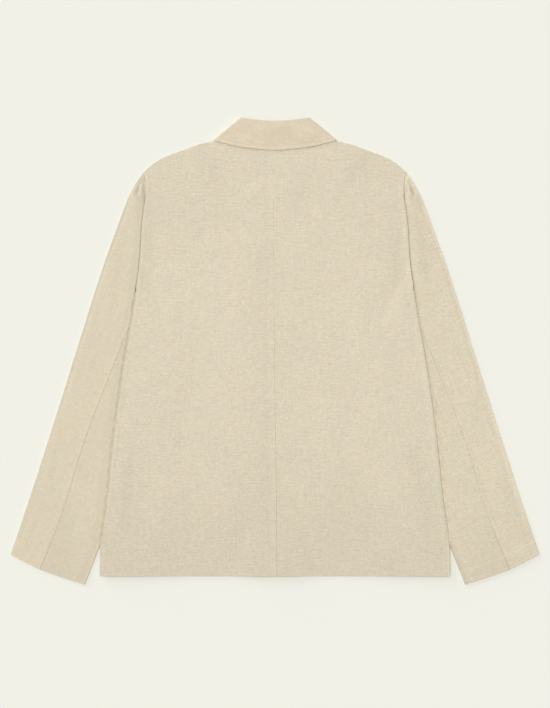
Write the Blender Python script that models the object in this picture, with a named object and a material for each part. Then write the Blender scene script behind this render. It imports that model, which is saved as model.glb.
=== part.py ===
"""An overshirt laid flat with its back side up, hem towards -Y and collar towards +Y.

Two backs, two fronts that lap at the button stand, two-piece sleeves, a turned-down collar with its stand
and five buttons. Each piece of cloth is a sheet of points, worked out from the sizes below in millimetres
and thickened into a wall. The sheets lie on each other in levels, and what lies on a sheet rises with it.
"""

import math
from collections import namedtuple

import bmesh
import bpy

MM = 0.001

# Cloth and its levels. Level 0 lies on the floor.
CLOTH = 1.2
GAP = 0.3
LEVEL = CLOTH + GAP
REST = CLOTH / 2
FOLD_RADIUS = LEVEL / 2
SEAM_CLEAR = GAP + 0.1  # along a row, where a seam slants across it

# Body
HEM = -359.4
BEND = 150.0  # above this height the rows of a panel bend up to its neck and shoulder
SHOULDER_TIP = 284.8
SIDE_START = 97.6  # where the armhole seam turns round the side fold
UNDERARM = 35.2
PLACKET = 15.0  # half the width of the button stand
NECK_POINT = 80.0
COLLAR_TIP = 104.0

# How far outside a lifted region the cloth over it still lies flat, and where its slope ends
SLEEVE_FLAT = 2.0
SIDE_RAMP = 36.0
WING_FLAT = 14.0
WING_FOOT = 40.0
COLLAR_FLAT = 30.0
COLLAR_FOOT = 66.0

# Columns of a panel: half widths by the button stand and neck, distances in from the front's edge, and shares
# of the way from there to the side fold
NECK_COLUMNS = (0, 8, PLACKET, 27, 48, 66, NECK_POINT, COLLAR_TIP)
SIDE_COLUMNS = (SIDE_RAMP, 24, 12, 0)
SIDE_SHARES = (0.35, 0.7, 1.0)
SIDE_ANGLES = (45, 0, -45, -90)  # round the side fold
LEAST_TURN = 1.0  # how far the back reaches under its side fold at least

# Buttons
BUTTON_RADIUS = 9.5
BUTTON_HIGH = 2.2
BUTTON_TOP = 235.0
BUTTON_APART = 120.0
BUTTONS = 5
BUTTON_SIDES = 16
BUTTON_PROFILE = (  # radius and height, from the middle of the dished face, which faces the floor
    (0, 0.7),
    (5.0, 0.7),
    (6.2, 0),
    (9.0, 0),
    (BUTTON_RADIUS, 0.6),
    (BUTTON_RADIUS, 1.5),
    (8.6, BUTTON_HIGH),
    (0, BUTTON_HIGH),
)
DOME_FLAT = 11.0
DOME_FOOT = 27.0

# Crown of the back over the button stand
CROWN = LEVEL + BUTTON_HIGH + GAP
CROWN_FLAT = 12.0
CROWN_FOOT = 80.0
CROWN_END = 250.0
CROWN_GONE = 305.0

# Collar: mean heights of its four layers
STAND_UNDER = REST + LEVEL
STAND_OVER = STAND_UNDER + 1.8
LEAF_OVER = STAND_OVER + LEVEL
NECK_RISE = STAND_OVER - REST - LEVEL

At = namedtuple("At", "y x")  # half width at a height
Top = namedtuple("Top", "x y")  # height of a top edge at a half width
Generator = namedtuple("Generator", "inner_x inner_y outer_x outer_y")

# Line of the armhole seam and, below SIDE_START, of the side fold
SIDE_LINE = (
    At(284.8, 211.0),
    At(274.0, 207.4),
    At(251.2, 207.0),
    At(225.6, 209.9),
    At(200.0, 213.0),
    At(161.6, 215.2),
    At(136.0, 217.3),
    At(97.6, 222.6),
    At(59.2, 228.3),
    At(8.0, 237.4),
    At(-43.2, 245.8),
    At(-94.4, 253.1),
    At(-145.6, 259.8),
    At(-196.8, 265.0),
    At(-248.0, 270.7),
    At(-290.0, 277.2),
    At(-312.0, 279.6),
    At(-360.3, 280.0),
)
# Edge of the front: its armhole down to the underarm, then the side seam
FRONT_EDGE = (
    At(284.8, 208.2),
    At(262.0, 198.0),
    At(225.0, 188.0),
    At(180.0, 181.0),
    At(130.0, 177.0),
    At(80.0, 176.4),
    At(35.2, 178.9),
    At(-360.3, 272.0),
)
# Outer fold of the sleeve, from the shoulder tip to the cuff
SLEEVE_OUTER = (
    At(281.6, 213.3),
    At(270.4, 221.2),
    At(257.6, 228.4),
    At(241.6, 236.0),
    At(193.6, 253.8),
    At(121.6, 279.3),
    At(25.6, 309.6),
    At(-94.4, 347.4),
    At(-214.4, 385.8),
    At(-325.2, 422.7),
)
# Inner fold of the sleeve, from the underarm to the cuff
SLEEVE_INNER = (
    At(35.2, 179.6),
    At(-60.0, 202.8),
    At(-150.0, 227.0),
    At(-240.0, 254.6),
    At(-315.2, 281.3),
    At(-373.1, 304.4),
)
# Seam between the top sleeve and the under sleeve, on the upper side
ELBOW_SEAM = (
    At(81.6, 211.0),
    At(30.4, 235.5),
    At(-46.0, 266.5),
    At(-145.0, 304.2),
    At(-249.0, 335.8),
    At(-299.0, 354.2),
    At(-347.8, 375.2),
)
BACK_NECK = (Top(0, 337.0), Top(27, 338.4), Top(48, 340.4), Top(66, 342.4), Top(80, 343.5))
FRONT_NECK = (
    Top(0, 262.0),
    Top(15, 263.5),
    Top(27, 267.0),
    Top(48, 280.0),
    Top(66, 305.0),
    Top(80, 343.5),
)
SHOULDER = (
    Top(80, 343.5),
    Top(104, 332.4),
    Top(117.4, 331.2),
    Top(145, 321.6),
    Top(163.2, 315.2),
    Top(179.2, 308.8),
    Top(190, 302.4),
    Top(198.9, 296.0),
    Top(205.8, 289.6),
    Top(211, 284.8),
)
CENTRE_SEAM = (At(337, -2.0), At(100, -1.4), At(0, -0.5), At(-110, 0.8), At(-230, 2.6), At(-361, 3.4))

# Collar leaf from its fold to its free edge: over the back, round the side, under the front
LEAF_BACK = (
    Generator(0, 368.3, 0, 320.5),
    Generator(18, 368.8, 30, 322.8),
    Generator(36, 370.6, 60, 326.4),
    Generator(45, 371.9, 82, 332.0),
)
LEAF_SIDE = Generator(54.4, 374.0, 98.2, 337.6)
LEAF_FRONT = (
    Generator(40, 352, 93, 312),
    Generator(24, 322, 83, 278),
    Generator(10, 298, 69, 249),
    Generator(3, 289.5, 54, 229),
)
LEAF_COLUMNS = 5
# Stand from the neck seam to the fold: its upper ends lie along the leaf's fold
STAND_BACK = (Top(0, 368.3), Top(18, 368.8), Top(34, 370.0), Top(44, 371.0))
STAND_FRONT = (Top(40, 350), Top(27, 326), Top(14, 304), Top(7, 296), Top(2.5, 289.5))
STAND_BACK_AT = (0, 27, 48, 66)
STAND_FRONT_AT = (66, 48, 27, 15, 2.5)
STAND_COLUMNS = 3
STAND_SEAT = 1.6  # from the leaf's side fold to the stand's
STAND_SHARE = 0.6  # of the leaf's side fold that the stand reaches down

# Regions that lift what lies over them, anticlockwise, at half widths
WING = ((-50, 374), (-50, 352), (54, 229), (98, 337), (54, 374))
OVER_SLEEVE = ((178.9, 35.2), (304.9, -500), (600, -500), (397, 347))

Row = namedtuple("Row", "y bend")

# Heights of rows: those at the armhole are shared by the backs, fronts and sleeves
HEAD_HEIGHTS = (SHOULDER_TIP, 265.5, 252.3, 239.0, 219.8, 183.7)
ARMPIT_HEIGHTS = (BEND, 126.0, 104.0, 88.0, 75.0, 55.0)
FRONT_HEIGHTS = (HEM, -315.0, -185.0, -65.0, UNDERARM)
BACK_HEIGHTS = (HEM, -315.0, -265.0, -205.0, -145.0, -85.0, -25.0, 10.0, UNDERARM)
UPPER_HEIGHTS = (*HEAD_HEIGHTS, BEND, 126.0, 104.0, SIDE_START)
LOWER_HEIGHTS = (*HEAD_HEIGHTS, BEND, 104.0, 75.0, UNDERARM)

# Sleeves: shares of the way down for their rows, and of the way across the under sleeve
SLEEVE_ROWS = (0, 0.03, 0.07, 0.12, 0.18, 0.26, 0.35, 0.45, 0.55, 0.65, 0.75, 0.84, 0.92, 1)
UNDER_SHARES = (0, 0.25, 0.5, 0.75)
HEAD_BOW_END = 0.26
CUFF_BOW_START = 0.84
CUFF_BOW = 1.4
UNDER_TURN = 8.0  # how far the under sleeve reaches round the inner fold
FOLD_ANGLES = (90, 45, 0, -45, -90)
TANGENT_STEP = 0.01  # share of a fold line over which its direction is measured

COLLAR_ANGLES = (90, 60, 30, 0, -30, -60, -90)

LINEN_COLOURS = {"body": (0.71, 0.63, 0.48), "sleeve": (0.69, 0.61, 0.465), "collar": (0.72, 0.64, 0.47)}
LINEN_ROUGHNESS = 0.92
HORN_COLOUR = (0.33, 0.24, 0.15)
HORN_ROUGHNESS = 0.35
SMOOTH_ANGLE = 40.0
WELD = 1e-6  # metres


def ease(share):
    share = min(max(share, 0.0), 1.0)
    return share * share * (3 - 2 * share)


def ramp(distance, full, none):
    """1 up to full, falling smoothly to 0 at none."""
    return ease((none - distance) / (none - full))


def mix(a, b, share):
    return tuple(p + (q - p) * share for p, q in zip(a, b))


def read(table, place):
    """A table's second column at a place in its first, on straight lines between its rows."""
    rows = sorted(table)
    if place <= rows[0][0]:
        return rows[0][1]
    for low, high in zip(rows, rows[1:]):
        if place <= high[0]:
            share = (place - low[0]) / (high[0] - low[0])
            return low[1] + (high[1] - low[1]) * share
    return rows[-1][1]


def curve(table, share):
    """(x, y) at a share of the way down an At table, on a smooth curve through its rows."""
    points = [(row.x, row.y) for row in table]
    lengths = [0.0]
    for a, b in zip(points, points[1:]):
        lengths.append(lengths[-1] + math.dist(a, b))
    target = share * lengths[-1]
    index = 0
    while index < len(points) - 2 and lengths[index + 1] < target:
        index += 1
    local = (target - lengths[index]) / (lengths[index + 1] - lengths[index])
    start, end = points[index], points[index + 1]
    before = points[max(index - 1, 0)]
    after = points[min(index + 2, len(points) - 1)]
    found = []
    for axis in (0, 1):
        ahead = end[axis] - start[axis]
        span = math.dist(start, end)
        leave = (end[axis] - before[axis]) * span / math.dist(end, before)
        arrive = (after[axis] - start[axis]) * span / math.dist(after, start)
        square, cube = local**2, local**3
        found.append(
            start[axis]
            + ahead * (3 * square - 2 * cube)
            + leave * (cube - 2 * square + local)
            + arrive * (cube - square)
        )
    return tuple(found)


def outside(x, y, corners):
    """How far a point lies outside a region, below 0 when it is inside."""
    found = -math.inf
    for (ax, ay), (bx, by) in zip(corners, corners[1:] + corners[:1]):
        length = math.dist((ax, ay), (bx, by))
        found = max(found, ((x - ax) * (by - ay) - (y - ay) * (bx - ax)) / length)
    return found


def sleeve_rise(x, y):
    return 2 * LEVEL * ramp(outside(abs(x), y, OVER_SLEEVE), SLEEVE_FLAT, SIDE_RAMP)


def button_places():
    return [BUTTON_TOP - BUTTON_APART * n for n in range(BUTTONS)]


def dome_rise(x, y):
    nearest = min(math.hypot(x, y - place) for place in button_places())
    return (BUTTON_HIGH + GAP) * ramp(nearest, DOME_FLAT, DOME_FOOT)


def front_height(x, y):
    """Mean height of the front that lies on the floor."""
    wing = LEVEL * ramp(outside(abs(x), y, WING), WING_FLAT, WING_FOOT)
    return REST + max(wing, dome_rise(x, y), sleeve_rise(x, y))


def lapped_height(x, y):
    """Mean height of the front that lies on the other one at the button stand."""
    return front_height(x, y) + LEVEL * ramp(x, PLACKET, DOME_FOOT)


def back_height(x, y):
    crown = CROWN * ramp(abs(x), CROWN_FLAT, CROWN_FOOT) * ramp(y, CROWN_END, CROWN_GONE)
    collar = NECK_RISE * ramp(outside(abs(x), y, WING), COLLAR_FLAT, COLLAR_FOOT)
    return REST + LEVEL + max(crown, collar, sleeve_rise(x, y))


def body_rows(heights):
    """Straight rows at these heights, then rows that bend up to the neck and shoulder."""
    rows = [Row(height, 0) for height in sorted(heights)]
    for height in HEAD_HEIGHTS[::-1]:
        rows.append(Row(height, (height - BEND) / (SHOULDER_TIP - BEND)))
    return rows


def front_rows():
    heights = {*FRONT_HEIGHTS, *ARMPIT_HEIGHTS}
    for place in button_places()[1:]:
        heights.update(place + step for step in (-DOME_FOOT, -DOME_FLAT, 0, DOME_FLAT, DOME_FOOT))
    return body_rows(heights)


def back_rows():
    return body_rows({*BACK_HEIGHTS, *ARMPIT_HEIGHTS})


def front_columns(edge):
    """Half widths of a panel's columns: the button stand, the neck, and the ramp over the sleeve."""
    return [*NECK_COLUMNS, *(edge - inward for inward in SIDE_COLUMNS)]


def bent(row, x, top_x, neck):
    """Height of a row's point: rows above BEND share out the run up to the neck and shoulder."""
    top = read(neck, top_x) if top_x <= NECK_POINT else read(SHOULDER, top_x)
    if row.bend == 0:
        return row.y
    return BEND + row.bend * (top - BEND)


def front_sheet(side, height):
    rows = []
    top_columns = front_columns(read(FRONT_EDGE, SHOULDER_TIP))
    for row in front_rows():
        columns = front_columns(read(FRONT_EDGE, row.y))
        pairs = list(zip(columns, top_columns))
        lap = [(-x, top) for x, top in pairs[1:3]]
        points = []
        for x, top in lap[::-1] + pairs:
            y = bent(row, abs(x), top, FRONT_NECK)
            points.append((side * x, y, height(x, y)))
        rows.append(points)
    return rows


def back_sheet(side):
    rows = []
    top_edge = read(FRONT_EDGE, SHOULDER_TIP)
    tip = read(SIDE_LINE, SHOULDER_TIP) - GAP / 2
    top_columns = front_columns(top_edge) + [top_edge + (tip - top_edge) * s for s in SIDE_SHARES]
    for row in back_rows():
        edge = read(FRONT_EDGE, row.y)
        folded = row.y < SIDE_START
        line = read(SIDE_LINE, row.y)
        last = line - FOLD_RADIUS - REST if folded else line - GAP / 2
        columns = front_columns(edge) + [edge + (last - edge) * s for s in SIDE_SHARES]
        points = []
        for number, (x, top) in enumerate(zip(columns, top_columns)):
            y = bent(row, x, top, BACK_NECK)
            seam = read(CENTRE_SEAM, y) + side * GAP / 2
            across = seam if number == 0 else side * x
            points.append((across, y, back_height(x, y)))
        if folded:
            points += side_wrap(side, row.y, edge, last)
        rows.append(points)
    return rows


def side_wrap(side, y, edge, last):
    """The back's fold round the side, and its part that lies under the fold as far as the seam."""
    low = REST + 2 * LEVEL
    points = []
    for angle in SIDE_ANGLES:
        turn = math.radians(angle)
        x = last + FOLD_RADIUS * math.cos(turn)
        points.append((side * x, y, low + FOLD_RADIUS * (1 + math.sin(turn))))
    climb = (y - UNDERARM) / (SIDE_START - UNDERARM)
    seam = edge + SEAM_CLEAR
    if climb > 0:
        armpit = read(FRONT_EDGE, UNDERARM)
        seam = armpit + climb * (read(SIDE_LINE, SIDE_START) - armpit)
    end = min(seam, last - LEAST_TURN)
    return points + [(side * x, y, low) for x in ((last + end) / 2, end)]


def head_line(table, heights, offset):
    """Points down an armhole seam, just outside the panel's edge."""
    return [(read(table, height) + offset, height) for height in heights]


UPPER_HEAD = head_line(SIDE_LINE, UPPER_HEIGHTS, GAP / 2) + [(ELBOW_SEAM[0].x, ELBOW_SEAM[0].y)]
LOWER_HEAD = head_line(FRONT_EDGE, LOWER_HEIGHTS, SEAM_CLEAR)


def sleeve_row(ends, head_ends, down, head, cuff_shares):
    """A row across the sleeve, bowed as the armhole near the top and as the cuff near the wrist."""
    lengths = [math.dist(a, b) for a, b in zip(head, head[1:])]
    points = []
    for number, bowed in enumerate(head):
        share = sum(lengths[:number]) / sum(lengths)
        x, y = mix(*ends, share)
        if down < HEAD_BOW_END and share < 1:
            chord = mix(*head_ends, share)
            bow = (1 - down / HEAD_BOW_END) ** 2
            x += bow * (bowed[0] - chord[0])
            y += bow * (bowed[1] - chord[1])
        at_cuff = cuff_shares[0] + (cuff_shares[1] - cuff_shares[0]) * share
        points.append((x, y - cuff_bow(down, at_cuff)))
    return points


def cuff_bow(down, share):
    """How far a row bows towards the wrist, at a share of the way from the outer to the inner fold."""
    grown = max(0, (down - CUFF_BOW_START) / (1 - CUFF_BOW_START))
    return CUFF_BOW * grown * math.sin(math.pi * share)


def inset(table, down, by, inward):
    """A point on a fold line moved square to it, towards the sleeve's middle."""
    x, y = curve(table, down)
    ahead = curve(table, min(down + TANGENT_STEP, 1))
    behind = curve(table, max(down - TANGENT_STEP, 0))
    dx, dy = ahead[0] - behind[0], ahead[1] - behind[1]
    length = math.hypot(dx, dy)
    return (x + inward * dy / length * by, y - inward * dx / length * by)


def fold_points(table, down, inward, angles):
    """Points round a fold between levels 1 and 0."""
    centre = REST + FOLD_RADIUS
    found = []
    for angle in angles:
        turn = math.radians(angle)
        by = REST + FOLD_RADIUS * (1 - math.cos(turn))
        x, y = inset(table, down, by, inward)
        found.append((x, y, centre + FOLD_RADIUS * math.sin(turn)))
    return found


def sleeve_frame(down):
    outer = inset(SLEEVE_OUTER, down, FOLD_RADIUS + REST, 1)
    inner = inset(SLEEVE_INNER, down, FOLD_RADIUS + REST, -1)
    elbow = curve(ELBOW_SEAM, down)
    return outer, inner, elbow


def top_sleeve_ends(down):
    """Where a row of the top sleeve starts and ends, over and under the arm."""
    outer, inner, elbow = sleeve_frame(down)
    elbow_edge = mix(elbow, outer, GAP / 2 / math.dist(outer, elbow))
    turned = mix(inner, outer, UNDER_TURN / math.dist(outer, inner))
    return (outer, elbow_edge), (outer, turned)


def top_sleeve_sheet(side):
    """From the elbow seam round the outer fold, and under the arm nearly to the inner fold."""
    rows = []
    upper_head_ends, lower_head_ends = top_sleeve_ends(0)
    for down in SLEEVE_ROWS:
        upper_ends, lower_ends = top_sleeve_ends(down)
        outer, inner, elbow = sleeve_frame(down)
        whole = math.dist(outer, inner)
        to_elbow = (0, math.dist(outer, elbow) / whole)
        to_turn = (0, 1 - UNDER_TURN / whole)
        upper = sleeve_row(upper_ends, upper_head_ends, down, UPPER_HEAD, to_elbow)
        lower = sleeve_row(lower_ends, lower_head_ends, down, LOWER_HEAD, to_turn)
        points = [(x, y, REST + LEVEL) for x, y in upper[:0:-1]]
        points += fold_points(SLEEVE_OUTER, down, 1, FOLD_ANGLES)
        points += [(x, y, REST) for x, y in lower[1:]]
        rows.append([(side * x, y, z) for x, y, z in points])
    return rows


def under_sleeve_sheet(side):
    """From the elbow seam to the inner fold and just round it."""
    rows = []
    for down in SLEEVE_ROWS:
        outer, inner, elbow = sleeve_frame(down)
        whole = math.dist(outer, inner)
        to_elbow = math.dist(outer, elbow) / whole
        elbow_edge = mix(elbow, inner, GAP / 2 / math.dist(inner, elbow))
        points = []
        for share in UNDER_SHARES:
            x, y = mix(elbow_edge, inner, share)
            bow = cuff_bow(down, to_elbow + (1 - to_elbow) * share)
            points.append((x, y - bow, REST + LEVEL))
        points += fold_points(SLEEVE_INNER, down, -1, FOLD_ANGLES)
        turned = (UNDER_TURN - GAP) / whole
        x, y = mix(inner, outer, turned)
        points.append((x, y - cuff_bow(down, turned), REST))
        rows.append([(side * x, y, z) for x, y, z in points])
    return rows


def side_fold(generator, seat, over, under, share):
    """Rows round the collar's side: (inner end, outer end, height) for each angle of the fold."""
    inner = (generator.inner_x, generator.inner_y)
    outer = mix(inner, (generator.outer_x, generator.outer_y), share)
    length = math.dist(inner, outer)
    normal = ((outer[1] - inner[1]) / length, -(outer[0] - inner[0]) / length)
    radius = (over - under) / 2
    rows = []
    for angle in COLLAR_ANGLES:
        turn = math.radians(angle)
        by = seat + REST + radius * (1 - math.cos(turn))
        ends = [(x + normal[0] * by, y + normal[1] * by) for x, y in (inner, outer)]
        rows.append((*ends, (over + under) / 2 + radius * math.sin(turn)))
    return rows


def both_sides(half):
    """A sheet's rows from the right half's rows, whose first row is on the centre line."""
    left = [[(-x, y, z) for x, y, z in row] for row in half[:0:-1]]
    return left + half


def ruled(ends, columns):
    rows = []
    for inner, outer, height in ends:
        shares = [n / (columns - 1) for n in range(columns)]
        rows.append([(*mix(inner, outer, share), height) for share in shares])
    return rows


def leaf_sheet():
    ends = [((g.inner_x, g.inner_y), (g.outer_x, g.outer_y), LEAF_OVER) for g in LEAF_BACK]
    ends += side_fold(LEAF_SIDE, 0, LEAF_OVER, REST, 1)
    ends += [((g.inner_x, g.inner_y), (g.outer_x, g.outer_y), REST) for g in LEAF_FRONT]
    return both_sides(ruled(ends, LEAF_COLUMNS))


def stand_sheet():
    ends = []
    for x, fold in zip(STAND_BACK_AT, STAND_BACK):
        ends.append(((x, read(BACK_NECK, x) + SEAM_CLEAR), (fold.x, fold.y), STAND_OVER))
    for fold, neck, height in side_fold(LEAF_SIDE, STAND_SEAT, STAND_OVER, STAND_UNDER, STAND_SHARE):
        ends.append((neck, fold, height))
    for x, fold in zip(STAND_FRONT_AT, STAND_FRONT):
        ends.append(((x, read(FRONT_NECK, x) + SEAM_CLEAR), (fold.x, fold.y), STAND_UNDER))
    return both_sides(ruled(ends, STAND_COLUMNS))


def principled(name, colour, roughness):
    material = bpy.data.materials.new(name)
    material.use_nodes = True
    shader = material.node_tree.nodes["Principled BSDF"]
    shader.inputs["Base Color"].default_value = (*colour, 1)
    shader.inputs["Roughness"].default_value = roughness
    shader.inputs["Metallic"].default_value = 0
    material.diffuse_color = (*colour, 1)
    return material


def add_object(name, mesh, material):
    mesh.materials.append(material)
    obj = bpy.data.objects.new(name, mesh)
    bpy.context.scene.collection.objects.link(obj)
    mesh.shade_smooth()
    mesh.set_sharp_from_angle(angle=math.radians(SMOOTH_ANGLE))
    return obj


def add_cloth(name, rows, material):
    """A sheet of rows of points. A longer row's last points meet only rows that are as long."""
    form = bmesh.new()
    grid = [[form.verts.new([MM * value for value in point]) for point in row] for row in rows]
    for near, far in zip(grid, grid[1:]):
        for column in range(min(len(near), len(far)) - 1):
            a, b, c, d = near[column], near[column + 1], far[column + 1], far[column]
            # The higher diagonal is the edge, so that sheets with the same form fold the same way.
            rising = b.co.z + d.co.z > a.co.z + c.co.z
            for corners in ((a, b, d), (b, c, d)) if rising else ((a, b, c), (a, c, d)):
                form.faces.new(corners)
    mesh = bpy.data.meshes.new(name)
    form.to_mesh(mesh)
    form.free()
    obj = add_object(name, mesh, material)
    wall = obj.modifiers.new("Wall", "SOLIDIFY")
    wall.thickness = CLOTH * MM
    wall.offset = 0
    wall.use_even_offset = True
    wall.use_quality_normals = True
    return obj


def add_button(name, y, material):
    """A turned disc, dished on the side that shows, which faces the floor."""
    form = bmesh.new()
    verts = [form.verts.new((radius * MM, 0, height * MM)) for radius, height in BUTTON_PROFILE]
    edges = [form.edges.new(pair) for pair in zip(verts, verts[1:])]
    bmesh.ops.spin(
        form,
        geom=verts + edges,
        cent=(0, 0, 0),
        axis=(0, 0, 1),
        angle=math.tau,
        steps=BUTTON_SIDES,
        use_merge=True,
    )
    bmesh.ops.remove_doubles(form, verts=form.verts, dist=WELD)
    bmesh.ops.recalc_face_normals(form, faces=form.faces)
    mesh = bpy.data.meshes.new(name)
    form.to_mesh(mesh)
    form.free()
    obj = add_object(name, mesh, material)
    obj.location = (0, y * MM, 0)
    return obj


def main():
    for obj in list(bpy.data.objects):
        bpy.data.objects.remove(obj)
    linen = {}
    for part, colour in LINEN_COLOURS.items():
        linen[part] = principled(f"linen_{part}", colour, LINEN_ROUGHNESS)
    horn = principled("button_horn", HORN_COLOUR, HORN_ROUGHNESS)
    add_cloth("front_left", front_sheet(-1, front_height), linen["body"])
    add_cloth("front_right", front_sheet(1, lapped_height), linen["body"])
    for side, label in ((-1, "left"), (1, "right")):
        add_cloth(f"back_{label}", back_sheet(side), linen["body"])
        add_cloth(f"top_sleeve_{label}", top_sleeve_sheet(side), linen["sleeve"])
        add_cloth(f"under_sleeve_{label}", under_sleeve_sheet(side), linen["sleeve"])
    add_cloth("collar_leaf", leaf_sheet(), linen["collar"])
    add_cloth("collar_stand", stand_sheet(), linen["collar"])
    for number, place in enumerate(button_places(), 1):
        add_button(f"button_{number}", place, horn)


main()
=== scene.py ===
"""An overshirt in undyed linen, laid flat with its back side up, on a plain pale floor.

Each piece of cloth is worked out in millimetres as a dense sheet of points with its weave's own coordinates,
and closed into a thin shell with rounded edges. Seams and hems are raised, stitches sunk into it, and the
bars of thread lie in the sunk lines.
"""

from math import cos, dist, hypot, pi, radians, sin, tau

import bpy
import numpy as np
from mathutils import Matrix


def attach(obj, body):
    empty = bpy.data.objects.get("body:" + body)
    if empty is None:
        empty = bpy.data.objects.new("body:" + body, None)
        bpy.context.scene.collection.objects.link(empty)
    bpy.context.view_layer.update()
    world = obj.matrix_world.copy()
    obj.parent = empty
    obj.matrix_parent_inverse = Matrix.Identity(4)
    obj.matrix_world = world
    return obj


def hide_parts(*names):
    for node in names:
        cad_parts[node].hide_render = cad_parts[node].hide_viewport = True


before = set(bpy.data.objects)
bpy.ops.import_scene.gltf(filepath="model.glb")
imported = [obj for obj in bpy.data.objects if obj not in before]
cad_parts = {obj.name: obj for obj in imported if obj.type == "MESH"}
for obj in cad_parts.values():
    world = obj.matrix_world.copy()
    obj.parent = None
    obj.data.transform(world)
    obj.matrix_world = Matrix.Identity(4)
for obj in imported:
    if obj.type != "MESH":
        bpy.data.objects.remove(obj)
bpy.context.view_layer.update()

MM = 0.001

# ---- Sizes, in millimetres ----

CLOTH = 1  # thickness of the shell
LEVEL = 1.5  # from one layer's middle to the next
REST = 0.6  # middle of a layer that lies on the floor
FOLD_RADIUS = LEVEL / 2
SEAM_GAP = 0.3
APART = SEAM_GAP + 0.1  # between the cloth's edges at a seam that is left open
SEWN_GAP = 0.06  # between two pieces sewn edge to edge
RAISED = 0.2  # keeps the stitches under the fronts and the collar off the floor

HEM = -359.4
BEND = 150
SHOULDER_TIP = 284.8
SIDE_START = 97.6
UNDERARM = 35.2
PLACKET = 15
NECK_POINT = 80
BUTTON_RADIUS = 9.5
BUTTON_HIGH = 2.2
DRILL_LONG = 9
BUTTON_DISH = 0.7
BUTTON_LIP = 2.6  # its flat rim
BUTTON_SLOPE = 1.3  # from the lip down to the dish's floor
BUTTON_DRILL = 0.95  # radius of a hole
BUTTON_HOLES = 1.9  # from the button's middle, along and across
HOLE_STARTS = 2.5  # from the button's middle towards the edge of the button stand
HOLE_LONG = 22
HOLE_SIDE = 1.15  # from the slit to the middle of its stitches
HOLE_PITCH = 0.62
BUTTON_PLACES = (235, 115, -5, -125, -245)

HEM_TURN = 22  # from the hem to its stitches
CUFF_TURN = 23
TOP_STITCH = 6  # along the collar and the button stand
EDGE_STITCH = 1.8
CENTRE_STITCH = 13

STAND_UNDER = REST + LEVEL
STAND_DEEP = 1.8
STAND_OVER = STAND_UNDER + STAND_DEEP
LEAF_OVER = STAND_OVER + LEVEL

# Half widths by height: (y, x)
SIDE_LINE = (
    (-361, 280), (-312, 279.6), (-290, 277.2), (-248, 270.7), (-196.8, 265), (-145.6, 259.8), (-94.4, 253.1),
    (-43.2, 245.8), (8, 237.4), (59.2, 228.3), (97.6, 222.6), (136, 217.3), (161.6, 215.2), (200, 213),
    (225.6, 209.9), (251.2, 207), (274, 207.4), (284.8, 211),
)
FRONT_EDGE = (
    (-361, 272.1), (35.2, 178.9), (80, 176.4), (130, 177), (180, 181), (225, 188), (262, 198), (284.8, 208.2),
)
CENTRE_SEAM = ((-361, 3.4), (-230, 2.6), (-110, 0.8), (0, -0.5), (100, -1.4), (337, -2))
# Heights by half width: (x, y)
BACK_NECK = ((0, 337), (27, 338.4), (48, 340.4), (66, 342.4), (80, 343.5))
FRONT_NECK = ((0, 262), (15, 263.5), (27, 267), (48, 280), (66, 305), (80, 343.5))
SHOULDER = (
    (80, 343.5), (96, 335.6), (107, 333.6), (117.4, 331.2), (145, 321.6), (163.2, 315.2), (179.2, 308.8),
    (190, 302.4), (198.9, 296), (205.8, 289.6), (211, 284.8),
)
# Lines down the sleeve, from the body to the cuff: (x, y)
SLEEVE_OUTER = (
    (211.2, 284.7), (213.3, 281.6), (221.2, 270.4), (228.4, 257.6), (236, 241.6), (253.8, 193.6),
    (279.3, 121.6), (309.6, 25.6), (347.4, -94.4), (385.8, -214.4), (422.7, -325.2),
)
SLEEVE_INNER = ((179.6, 35.2), (202.8, -60), (227, -150), (254.6, -240), (281.3, -315.2), (304.4, -373.1))
ELBOW_SEAM = (
    (211, 81.6), (235.5, 30.4), (266.5, -46), (304.2, -145), (335.8, -249), (354.2, -299), (375.2, -347.8),
)

# The collar leaf's rulings from its fold to its free edge: (fold x, y, edge x, y), over the back,
# round the side, then under the front
LEAF_BACK = (
    (0, 368.3, 0, 320.5), (18, 368.8, 30, 322.8), (36, 370.6, 60, 326.4), (45, 371.9, 82, 332),
    (54.4, 374, 98.2, 337.6),
)
LEAF_FRONT = (
    (54.4, 374, 98.2, 337.6), (40, 352, 93, 312), (24, 322, 83, 278), (10, 298, 69, 249), (3, 289.5, 54, 229),
)
# The stand's from its fold to the neck seam, but for the one at its side: (fold x, y, seam x)
STAND_BACK = ((0, 368.3, 0), (18, 368.8, 27), (34, 370, 48), (44, 371, 66))
STAND_FRONT = ((40, 350, 66), (27, 326, 48), (14, 304, 27), (7, 296, 15), (2.5, 289.5, 2.5))

# Painted shade on each sleeve beside the body's edge, in grey levels, where it goes under the body or into
# the armhole; above 0 it is painted light, where the body's own shadow already falls: (y, level)
TUCKED_SHADE = {
    -1: (
        (-375, -22), (-140, -26), (0, -41), (54, -41), (72, -50), (94, -56), (101, -36), (120, -32),
        (244, -32), (262, 2), (285, 4),
    ),
    1: ((-375, 40), (-140, 34), (0, 8), (90, 0), (120, -20), (244, -20), (262, 2), (285, 4)),
}

# Regions that lift what lies over them, anticlockwise, at half widths
WING = ((-50, 374), (-50, 352), (54, 229), (98, 337), (54, 374))
OVER_SLEEVE = ((178.9, 35.2), (304.9, -500), (600, -500), (397, 347))

# ---- Small tools ----


def ease(share):
    share = np.clip(share, 0, 1)
    return share * share * (3 - 2 * share)


def ramp(distance, full, none):
    """1 up to full, falling smoothly to 0 at none."""
    return ease((none - distance) / (none - full))


def between(y, lowest, low, high, highest):
    """1 from low to high, falling smoothly to 0 at lowest and highest."""
    return ramp(y, low, lowest) * ramp(y, high, highest)


def unit(ways):
    """Ways made one long."""
    return ways / np.linalg.norm(ways, axis=-1, keepdims=True)


def arc_of(points):
    """How far each point is along the line through them."""
    return np.concatenate([[0], np.cumsum(np.linalg.norm(np.diff(points, axis=0), axis=1))])


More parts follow.
